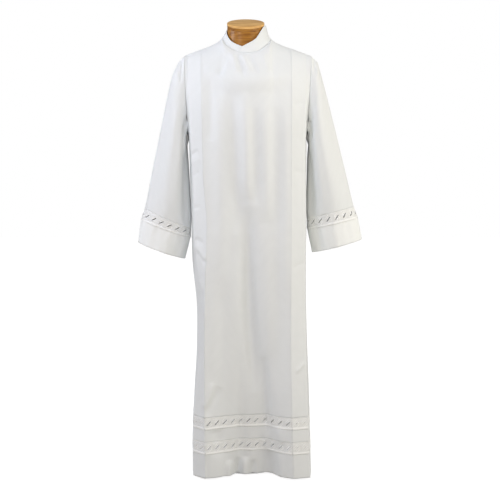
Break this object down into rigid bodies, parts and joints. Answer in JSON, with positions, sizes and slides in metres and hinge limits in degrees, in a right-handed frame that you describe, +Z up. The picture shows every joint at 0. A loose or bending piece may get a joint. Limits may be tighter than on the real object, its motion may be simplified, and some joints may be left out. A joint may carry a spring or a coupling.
{
  "type": "alb robe on a dress form",
  "caption": "Long white alb with wrapped stand collar, box pleats, wide sleeves and lace insertions, standing on a limbless dress form with a wooden cap.",
  "frame": {"origin": "centre of the underside of the form's base plate, on the floor", "axes": "+Z up, the robe's front faces -Y, the wearer's left is +X"},
  "size_m": [0.8072, 0.4156, 1.6159],
  "materials": {
    "cloth": "matt white polyester suiting",
    "lace": "warm white cotton insertion lace",
    "form_cover": "plain jersey over a hard torso",
    "wood": "varnished brown wood",
    "metal": "light grey powder coat"
  },
  "bodies": {
    "root": {"front_panel": "cloth", "back_panel": "cloth", "collar": "cloth", "sleeve_left": "cloth", "sleeve_right": "cloth", "cuff_left": "cloth", "cuff_right": "cloth", "hem_strip_front": "cloth", "hem_strip_back": "cloth", "hem_band_front": "cloth", "hem_band_back": "cloth", "sleeve_lace_left_front": "lace", "sleeve_lace_left_back": "lace", "sleeve_lace_right_front": "lace", "sleeve_lace_right_back": "lace", "hem_lace_upper_front": "lace", "hem_lace_upper_back": "lace", "hem_lace_lower_front": "lace", "hem_lace_lower_back": "lace", "form_torso": "form_cover", "form_neck": "wood", "form_cap": "wood", "stand_pole": "metal", "stand_base": "metal"}
  },
  "joints": []
}
